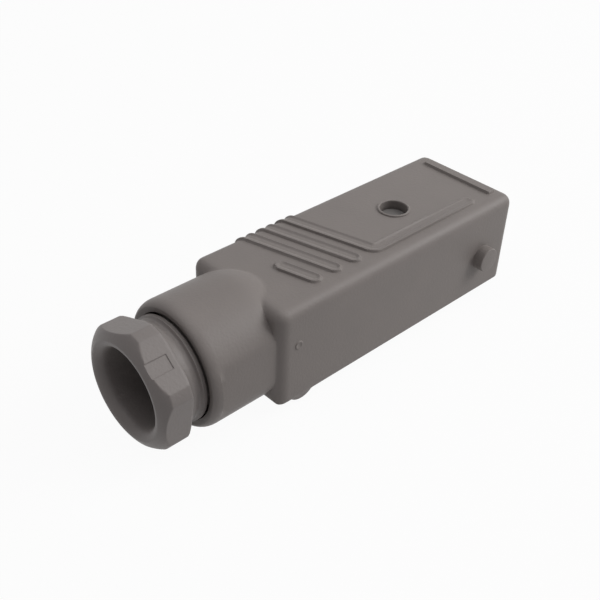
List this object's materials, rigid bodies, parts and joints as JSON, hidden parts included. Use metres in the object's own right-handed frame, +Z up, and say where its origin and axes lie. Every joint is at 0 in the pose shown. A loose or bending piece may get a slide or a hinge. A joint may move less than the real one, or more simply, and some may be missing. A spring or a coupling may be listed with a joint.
{
  "type": "male power connector",
  "caption": "Straight male power plug: rectangular moulded housing with a screwed cable gland at one end and recessed contact pins at the other.",
  "frame": {"origin": "on the surface under the part, below the middle of its length and width", "axes": "+X along the cable axis towards the mating end, +Z up, +Y to the far side of the picture"},
  "size_m": [0.102, 0.033, 0.0278],
  "materials": {
    "housing_plastic": "satin",
    "gland_plastic": "satin",
    "carrier_plastic": "satin",
    "seal_rubber": "matte",
    "contact_metal": "satin",
    "zinc_steel": "satin",
    "screw_steel": "satin"
  },
  "bodies": {
    "root": {"housing": "housing_plastic", "cable_seal": "seal_rubber", "contact_carrier": "carrier_plastic", "line_contact_left": "contact_metal", "line_contact_middle": "contact_metal", "line_contact_right": "contact_metal", "earth_contact": "contact_metal"},
    "gland_ring": {"thrust_ring": "zinc_steel"},
    "gland_nut": {"gland_nut": "gland_plastic"},
    "left_clamp": {"line_clamp_plate_left": "zinc_steel"},
    "left_screw": {"line_terminal_screw_left": "screw_steel"},
    "middle_clamp": {"line_clamp_plate_middle": "zinc_steel"},
    "middle_screw": {"line_terminal_screw_middle": "screw_steel"},
    "right_clamp": {"line_clamp_plate_right": "zinc_steel"},
    "right_screw": {"line_terminal_screw_right": "screw_steel"},
    "earth_clamp": {"earth_clamp_plate": "zinc_steel"},
    "earth_screw": {"earth_terminal_screw": "screw_steel"},
    "cord_clamp": {"cord_bar": "carrier_plastic"},
    "cord_screw_left": {"cord_screw_left": "screw_steel"},
    "cord_screw_right": {"cord_screw_right": "screw_steel"}
  },
  "joints": [
    {"name": "gland_travel", "type": "slide", "parent": "root", "child": "gland_ring", "axis": [1, 0, 0], "range_m": [-0.0025, 0.0029]},
    {"name": "gland_turn", "type": "hinge", "parent": "gland_ring", "child": "gland_nut", "pos_m": [-0.0462, 0, 0.0139], "axis": [1, 0, 0], "range_deg": [-601, 697]},
    {"name": "left_clamp_travel", "type": "slide", "parent": "root", "child": "left_clamp", "axis": [0, 0, 1], "range_m": [0, 0.0011]},
    {"name": "left_screw_turn", "type": "hinge", "parent": "left_clamp", "child": "left_screw", "pos_m": [0.0087, 0.007, 0.0069], "axis": [0, 0, 1], "range_deg": [0, 793]},
    {"name": "middle_clamp_travel", "type": "slide", "parent": "root", "child": "middle_clamp", "axis": [0, 0, 1], "range_m": [0, 0.0011]},
    {"name": "middle_screw_turn", "type": "hinge", "parent": "middle_clamp", "child": "middle_screw", "pos_m": [0.0087, 0, 0.0069], "axis": [0, 0, 1], "range_deg": [0, 793]},
    {"name": "right_clamp_travel", "type": "slide", "parent": "root", "child": "right_clamp", "axis": [0, 0, 1], "range_m": [0, 0.0011]},
    {"name": "right_screw_turn", "type": "hinge", "parent": "right_clamp", "child": "right_screw", "pos_m": [0.0087, -0.007, 0.0069], "axis": [0, 0, 1], "range_deg": [0, 793]},
    {"name": "earth_clamp_travel", "type": "slide", "parent": "root", "child": "earth_clamp", "axis": [0, 0, -1], "range_m": [0, 0.0011]},
    {"name": "earth_screw_turn", "type": "hinge", "parent": "earth_clamp", "child": "earth_screw", "pos_m": [0.0087, 0, 0.0199], "axis": [0, 0, -1], "range_deg": [0, 793]},
    {"name": "cord_clamp_travel", "type": "slide", "parent": "root", "child": "cord_clamp", "axis": [0, 0, 1], "range_m": [-0.0008, 0.0022]},
    {"name": "cord_screw_left_turn", "type": "hinge", "parent": "cord_clamp", "child": "cord_screw_left", "pos_m": [-0.0127, 0.0075, 0.0078], "axis": [0, 0, 1], "range_deg": [-577, 1585]},
    {"name": "cord_screw_right_turn", "type": "hinge", "parent": "cord_clamp", "child": "cord_screw_right", "pos_m": [-0.0127, -0.0075, 0.0078], "axis": [0, 0, 1], "range_deg": [-577, 1585]}
  ],
  "couplings": [
    {"joint": "gland_turn", "follows": "gland_travel", "rad_per_m": 4188.8},
    {"joint": "left_screw_turn", "follows": "left_clamp_travel", "rad_per_m": 12566},
    {"joint": "middle_screw_turn", "follows": "middle_clamp_travel", "rad_per_m": 12566},
    {"joint": "right_screw_turn", "follows": "right_clamp_travel", "rad_per_m": 12566},
    {"joint": "earth_screw_turn", "follows": "earth_clamp_travel", "rad_per_m": 12566},
    {"joint": "cord_screw_left_turn", "follows": "cord_clamp_travel", "rad_per_m": 12566},
    {"joint": "cord_screw_right_turn", "follows": "cord_clamp_travel", "rad_per_m": 12566}
  ]
}
